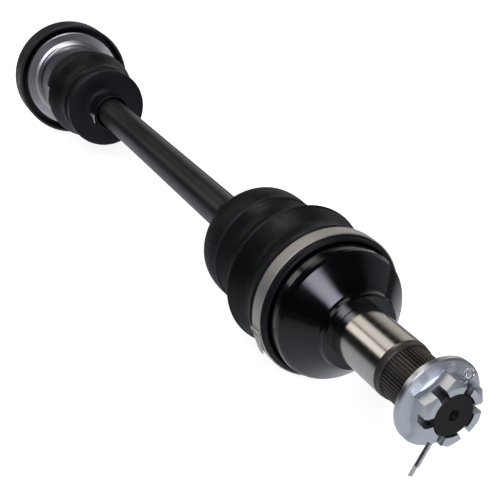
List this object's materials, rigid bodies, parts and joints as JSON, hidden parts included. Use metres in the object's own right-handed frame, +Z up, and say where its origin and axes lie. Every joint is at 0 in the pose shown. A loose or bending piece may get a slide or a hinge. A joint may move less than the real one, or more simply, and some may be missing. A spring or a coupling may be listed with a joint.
{
  "type": "cv axle",
  "caption": "Drive half-shaft with a fixed ball joint and splined hub stub at one end and a plunging ball joint at the other, each sealed by a rubber boot.",
  "frame": {"origin": "on the axle's centreline, at the shoulder where the ground hub journal starts", "axes": "+X along the axle towards the wheel end, +Z up, +Y across"},
  "size_m": [0.6462, 0.0978, 0.0978],
  "materials": {
    "gloss_black_steel": "gloss black paint, ground journal, phosphated spline and thread",
    "satin_black_steel": "satin black paint",
    "bright_zinc": "bright zinc plate",
    "zinc_housing": "turned and zinc plated",
    "plain_steel_wire": "plain drawn wire",
    "stainless_band": "rolled stainless strip",
    "boot_rubber": "matte moulded rubber",
    "dark_grey_ring": "dark satin coat",
    "ground_steel": "ground and greased",
    "hardened_steel": "dark heat-treated",
    "polished_steel": "polished ball",
    "spring_steel": "dark oiled spring steel"
  },
  "bodies": {
    "shaft": {"axle_shaft": "satin_black_steel", "outer_inner_race": "ground_steel", "outer_race_circlip": "spring_steel", "inner_race": "ground_steel", "inner_race_circlip": "spring_steel", "outer_boot_small_band": "stainless_band", "inner_boot_small_band": "stainless_band"},
    "outer_lower_ball": {"outer_ball_lower": "polished_steel"},
    "outer_cage": {"outer_cage": "hardened_steel", "outer_side_balls": "polished_steel"},
    "outer_upper_ball": {"outer_ball_upper": "polished_steel"},
    "outer_joint": {"outer_joint_housing": "gloss_black_steel", "hub_nut": "bright_zinc", "cotter_pin": "plain_steel_wire", "outer_boot": "boot_rubber", "outer_boot_large_band": "stainless_band"},
    "inner_cage": {"inner_cage": "hardened_steel", "inner_cage_balls": "polished_steel"},
    "inner_side_balls": {"inner_side_balls": "polished_steel"},
    "inner_joint": {"inner_joint_housing": "zinc_housing", "inner_stop_ring": "spring_steel", "dust_ring": "dark_grey_ring", "inner_boot": "boot_rubber", "inner_boot_large_band": "stainless_band", "gearbox_circlip": "spring_steel"}
  },
  "joints": [
    {"name": "outer_pitch_shaft_side", "type": "hinge", "parent": "shaft", "child": "outer_lower_ball", "pos_m": [-0.034, 0, 0], "axis": [0, 1, 0], "range_deg": [-12.5, 12.5], "stiffness_Nm_per_rad": 4},
    {"name": "outer_yaw_shaft_side", "type": "hinge", "parent": "outer_lower_ball", "child": "outer_cage", "pos_m": [-0.034, 0, 0], "axis": [0, 0, 1], "range_deg": [-12.5, 12.5], "stiffness_Nm_per_rad": 4},
    {"name": "outer_yaw", "type": "hinge", "parent": "outer_cage", "child": "outer_upper_ball", "pos_m": [-0.034, 0, 0], "axis": [0, 0, 1], "range_deg": [-12.5, 12.5], "stiffness_Nm_per_rad": 4},
    {"name": "outer_pitch", "type": "hinge", "parent": "outer_upper_ball", "child": "outer_joint", "pos_m": [-0.034, 0, 0], "axis": [0, 1, 0], "range_deg": [-12.5, 12.5], "stiffness_Nm_per_rad": 4, "deforming": ["outer_boot"]},
    {"name": "inner_tilt_shaft_side", "type": "hinge", "parent": "shaft", "child": "inner_cage", "pos_m": [-0.478, 0, 0], "axis": [0, 1, 0], "range_deg": [-9, 9], "stiffness_Nm_per_rad": 4},
    {"name": "inner_tilt", "type": "hinge", "parent": "inner_cage", "child": "inner_side_balls", "pos_m": [-0.478, 0, 0], "axis": [0, 1, 0], "range_deg": [-9, 9], "stiffness_Nm_per_rad": 4},
    {"name": "inner_plunge", "type": "slide", "parent": "inner_side_balls", "child": "inner_joint", "axis": [1, 0, 0], "range_m": [-0.01, 0.01], "stiffness_N_per_m": 1500, "deforming": ["inner_boot"]}
  ],
  "couplings": [
    {"joint": "outer_pitch_shaft_side", "follows": "outer_pitch", "ratio": 1},
    {"joint": "outer_yaw_shaft_side", "follows": "outer_yaw", "ratio": 1},
    {"joint": "inner_tilt_shaft_side", "follows": "inner_tilt", "ratio": 1}
  ]
}
